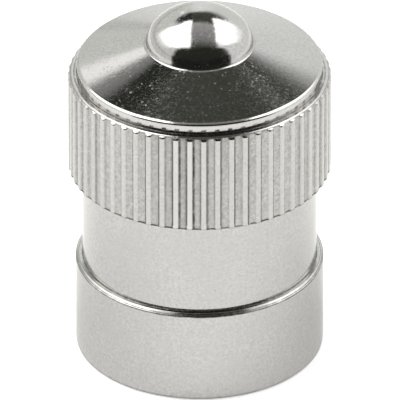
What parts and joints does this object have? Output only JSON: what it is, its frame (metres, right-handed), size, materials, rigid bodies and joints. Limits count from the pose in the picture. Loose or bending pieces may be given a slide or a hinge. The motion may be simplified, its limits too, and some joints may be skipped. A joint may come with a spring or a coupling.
{
  "type": "tyre valve cap",
  "caption": "Nickel-plated metal tyre valve cap with a straight-knurled grip collar, plain neck and base band, coned crown with a domed nub, and a rubber sealing washer inside.",
  "frame": {"origin": "centre of the open end's face, on the cap's axis", "axes": "+Z along the cap's axis from the open end to the domed nub; X and Y across it"},
  "size_m": [0.0104, 0.0104, 0.0151],
  "materials": {
    "nickel_plated_brass": "polished",
    "nitrile_rubber": "matte"
  },
  "bodies": {
    "root": {"cap_body": "nickel_plated_brass", "sealing_washer": "nitrile_rubber"}
  },
  "joints": []
}
